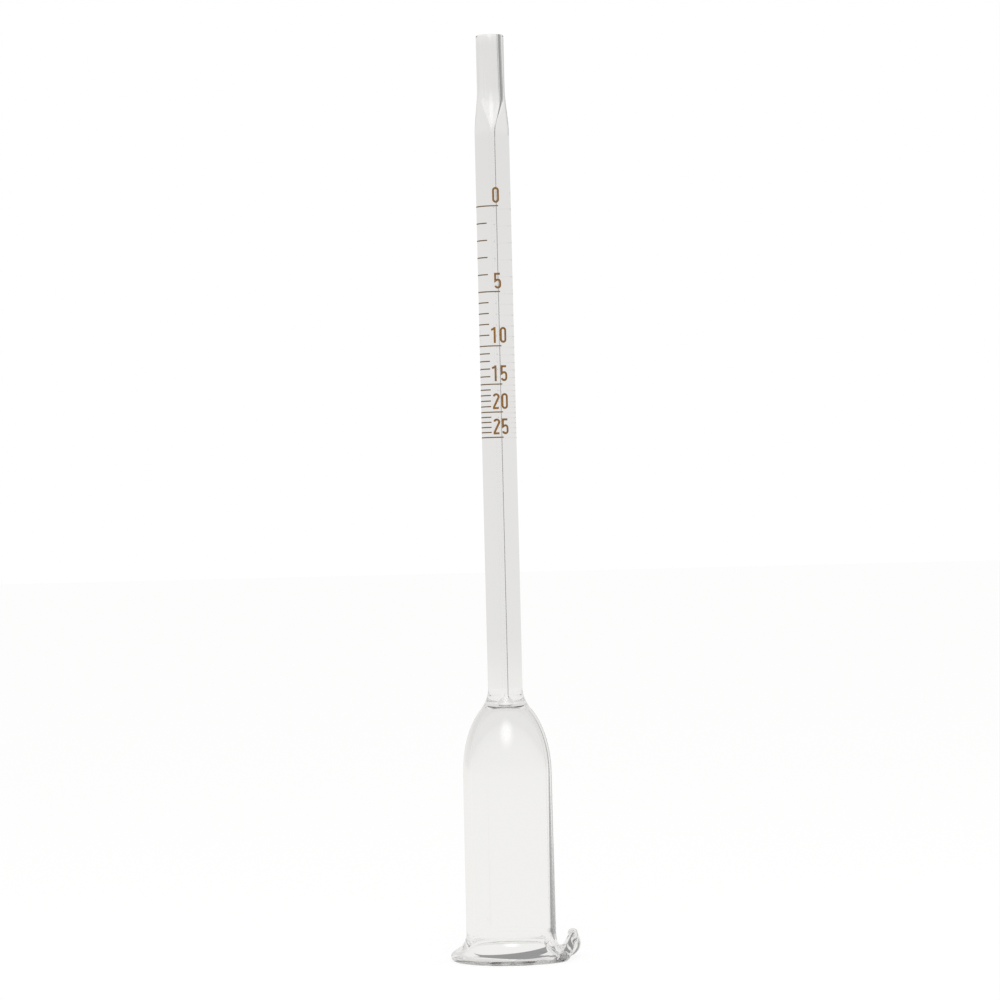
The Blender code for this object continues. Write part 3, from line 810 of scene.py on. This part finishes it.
def floor_material(stage):
    """Painted board, matt and pale: it looks white, takes a soft shadow and greys with distance."""
    material, tree = blank_material("pale_board")
    camera, through = ray_kinds(tree)
    where = node(tree, "ShaderNodeTexCoord")
    away = node(tree, "ShaderNodeVectorMath", {0: where.outputs["Object"]}, operation="LENGTH")
    level = node(tree, "ShaderNodeMapRange", {
        "Value": away.outputs["Value"], "From Min": FLOOR_BAND[0], "From Max": FLOOR_BAND[1],
        "To Min": stage.floor_near, "To Max": stage.floor_far})
    behind = node(tree, "ShaderNodeEmission", {
        "Color": linear(WARM_WHITE), "Strength": level.outputs["Result"]})
    board = node(tree, "ShaderNodeBsdfDiffuse", {"Color": linear(stage.board_seen)})
    glow = node(tree, "ShaderNodeEmission", {
        "Color": linear(PURE_WHITE), "Strength": stage.floor_glow})
    seen = node(tree, "ShaderNodeAddShader", {0: board.outputs[0], 1: glow.outputs[0]})
    plain = node(tree, "ShaderNodeBsdfDiffuse", {"Color": linear(stage.board_plain)})
    unseen = node(tree, "ShaderNodeMixShader", {
        0: through, 1: plain.outputs[0], 2: behind.outputs[0]})
    mixed = node(tree, "ShaderNodeMixShader", {
        0: camera, 1: unseen.outputs[0], 2: seen.outputs[0]})
    node(tree, "ShaderNodeOutputMaterial", {"Surface": mixed.outputs[0]})
    return material


def card_material(name, grey, one_sided=False):
    """Grey card glowing evenly as painted shade, so that it is one tone in the glass; its back may
    be left clear.
    """
    material, tree = blank_material(name)
    lit = node(tree, "ShaderNodeEmission", {"Color": linear(PURE_WHITE), "Strength": grey})
    surface = lit.outputs[0]
    if one_sided:
        side = node(tree, "ShaderNodeNewGeometry")
        clear = node(tree, "ShaderNodeBsdfTransparent")
        surface = node(tree, "ShaderNodeMixShader", {
            0: side.outputs["Backfacing"], 1: surface, 2: clear.outputs[0]}).outputs[0]
    node(tree, "ShaderNodeOutputMaterial", {"Surface": surface})
    return material


def softbox_material(stage):
    """Diffuser cloth lit from behind: brightest in the middle, and faded out at its edge."""
    material, tree = blank_material("softbox_face")
    where = node(tree, "ShaderNodeTexCoord")
    squashed = node(tree, "ShaderNodeVectorMath", {0: where.outputs["Object"], 1: FACE_SQUASH},
                    operation="MULTIPLY")
    away = node(tree, "ShaderNodeVectorMath", {0: squashed.outputs["Vector"]}, operation="LENGTH")
    level = node(tree, "ShaderNodeMapRange", {
        "Value": away.outputs["Value"], "From Min": 0.0, "From Max": stage.glow_radius,
        "To Min": stage.glow_peak, "To Max": 0.0}, interpolation_type="SMOOTHERSTEP")
    face = node(tree, "ShaderNodeEmission", {
        "Color": linear(PURE_WHITE), "Strength": level.outputs["Result"]})
    clear = node(tree, "ShaderNodeBsdfTransparent")
    both = node(tree, "ShaderNodeAddShader", {0: face.outputs[0], 1: clear.outputs[0]})
    node(tree, "ShaderNodeOutputMaterial", {"Surface": both.outputs[0]})
    return material


def hide_from(thing, *rays):
    """Switch off a stage object for the kinds of ray that are named."""
    for ray in rays:
        setattr(thing, "visible_" + ray, False)


def add_sheet(name, rows, material):
    """A sheet of the stage, through rows of points."""
    across = len(rows[0])
    faces = [(i * across + k, i * across + k + 1, (i + 1) * across + k + 1, (i + 1) * across + k)
             for i in range(len(rows) - 1) for k in range(across - 1)]
    mesh = bpy.data.meshes.new(name)
    mesh.from_pydata([point for row in rows for point in row], [], faces)
    mesh.materials.append(material)
    sheet = bpy.data.objects.new(name, mesh)
    bpy.context.scene.collection.objects.link(sheet)
    return sheet


def rectangle(half_width, half_height):
    """Corners of a level rectangle round the origin, as two rows."""
    return [[(-half_width, side, 0.0), (half_width, side, 0.0)]
            for side in (-half_height, half_height)]


def radius_at(outline, height):
    """Radius of the outside at a height; the outline runs from the rim down."""
    for (top_radius, top), (low_radius, low) in zip(outline, outline[1:]):
        if low <= height <= top and top > low:
            return top_radius + (low_radius - top_radius) * (top - height) / (top - low)
    return outline[-1][0]


def add_side_cards(g, stage):
    """Narrow dark cards beside the glass's right edge, seen only through it: painted shade."""
    outline = outside_outline(g)
    card = card_material("painted_shade_card", stage.card_grey)
    for name, back, low, high, low_width, high_width in CARDS:
        rows = []
        for part in spaced(0.0, 1.0, CARD_ROWS):
            height = (low + (high - low) * part) * MM
            inner = math.sqrt(radius_at(outline, height) ** 2 - (back * MM) ** 2) + CARD_GAP
            outer = inner + (low_width + (high_width - low_width) * part) * MM
            rows.append([(inner, back * MM, height), (outer, back * MM, height)])
        hide_from(add_sheet(name, rows, card), "camera", "diffuse", "shadow")


def add_lip_core(g, stage):
    """A thin dark sheet up the middle of the lip: painted reflection, for the dark table edge it
    mirrors.
    """
    line = flange_line(g, 0.0, CORE_STEPS)[CORE_SPAN]
    rows = []
    for i, (before, point, after) in enumerate(zip(line, line[1:], line[2:])):
        along = (after - before).xy.normalized()
        half = CORE_HALF_WIDTH * math.sqrt(math.sin(math.pi * (i + 1) / len(line)))
        out = Vector((-along.y, along.x)) * half
        rows.append([(point.x + side * out.x, 0.0, point.y + side * out.y) for side in (-1, 1)])
    core = add_sheet("lip_core", rows, card_material("painted_reflection_core", stage.card_grey))
    hide_from(core, "camera", "diffuse", "shadow")


def add_skirt(g, stage):
    """A low dark ring inside the foot, seen only through the glass and from outside: painted
    shadow.
    """
    radius = g.bell_radius - g.wall - SKIRT_GAP
    rows = []
    for angle in spaced(2 * math.pi, 0.0, SKIRT_FLATS):
        top = SKIRT_HEIGHT + SKIRT_SWING * math.cos(angle)
        rows.append([(radius * math.cos(angle), radius * math.sin(angle), height)
                     for height in (SKIRT_LOW, top)])
    skirt = add_sheet("skirt", rows, card_material("painted_shadow_ring", stage.card_grey, one_sided=True))
    hide_from(skirt, "camera", "diffuse", "shadow")


def add_softbox(stage):
    """A lamp for the matt surfaces, and in its place a glowing face that the glass mirrors."""
    lamp = bpy.data.lights.new("softbox", "AREA")
    lamp.energy = stage.softbox_power
    lamp.size = stage.softbox_size
    softbox = bpy.data.objects.new("softbox", lamp)
    bpy.context.scene.collection.objects.link(softbox)
    hide_from(softbox, "glossy", "transmission")
    face = add_sheet("softbox_face", rectangle(FACE_HALF_WIDTH, FACE_HALF_HEIGHT),
                     softbox_material(stage))
    hide_from(face, "camera", "diffuse", "transmission", "shadow")
    elevation = stage.softbox_elevation
    for thing in (softbox, face):
        thing.location = (0.0, -stage.softbox_distance * math.cos(elevation),
                          stage.softbox_aim + stage.softbox_distance * math.sin(elevation))
        thing.rotation_euler = (math.pi / 2 - elevation, 0.0, 0.0)


def add_camera(stage):
    """A long lens in front of the scale, turned a little about its own axis."""
    lens = bpy.data.cameras.new("camera")
    lens.lens = stage.focal_length
    lens.sensor_width = SENSOR_WIDTH
    lens.clip_start = CLIP_START
    camera = bpy.data.objects.new("camera", lens)
    camera.location = (CAMERA_SIDE, -stage.distance, stage.eye_height)
    camera.rotation_euler = (math.pi / 2, stage.roll, 0.0)
    bpy.context.scene.collection.objects.link(camera)
    bpy.context.scene.camera = camera


class VINOMETER_OT_stage(bpy.types.Operator):
    """Lay the floor and place the light, the world and the camera"""
    bl_idname = "vinometer.stage"
    bl_label = "Build stage"

    def execute(self, context):
        scene = context.scene
        stage = scene.vinometer_stage
        scene.view_settings.view_transform = "Standard"
        scene.cycles.max_bounces = stage.bounces
        scene.cycles.glossy_bounces = stage.bounces
        scene.cycles.transmission_bounces = stage.bounces
        scene.world = make_world(stage)
        add_sheet("floor", rectangle(FLOOR_HALF, FLOOR_HALF), floor_material(stage))
        add_softbox(stage)
        add_side_cards(scene.vinometer_glass, stage)
        add_lip_core(scene.vinometer_glass, stage)
        add_skirt(scene.vinometer_glass, stage)
        add_camera(stage)
        return {"FINISHED"}


class VINOMETER_PT_panel(bpy.types.Panel):
    """Lists the vinometer's operators"""
    bl_idname = "VINOMETER_PT_panel"
    bl_label = "Vinometer"
    bl_space_type = "VIEW_3D"
    bl_region_type = "UI"
    bl_category = "Vinometer"

    def draw(self, context):
        for name in ("vinometer.glass", "vinometer.lines", "vinometer.numerals",
                     "vinometer.stage"):
            self.layout.operator(name)


CLASSES = (VINOMETER_PG_glass, VINOMETER_PG_scale, VINOMETER_PG_stage, VINOMETER_OT_glass,
           VINOMETER_OT_lines, VINOMETER_OT_numerals, VINOMETER_OT_stage, VINOMETER_PT_panel)


def register():
    for kind in CLASSES:
        bpy.utils.register_class(kind)
    bpy.types.Scene.vinometer_glass = PointerProperty(type=VINOMETER_PG_glass)
    bpy.types.Scene.vinometer_scale = PointerProperty(type=VINOMETER_PG_scale)
    bpy.types.Scene.vinometer_stage = PointerProperty(type=VINOMETER_PG_stage)


def unregister():
    del bpy.types.Scene.vinometer_stage
    del bpy.types.Scene.vinometer_scale
    del bpy.types.Scene.vinometer_glass
    for kind in reversed(CLASSES):
        bpy.utils.unregister_class(kind)


def main():
    register()
    bpy.ops.vinometer.glass()
    bpy.ops.vinometer.lines()
    bpy.ops.vinometer.numerals()
    bpy.ops.vinometer.stage()


if __name__ == "__main__":
    main()
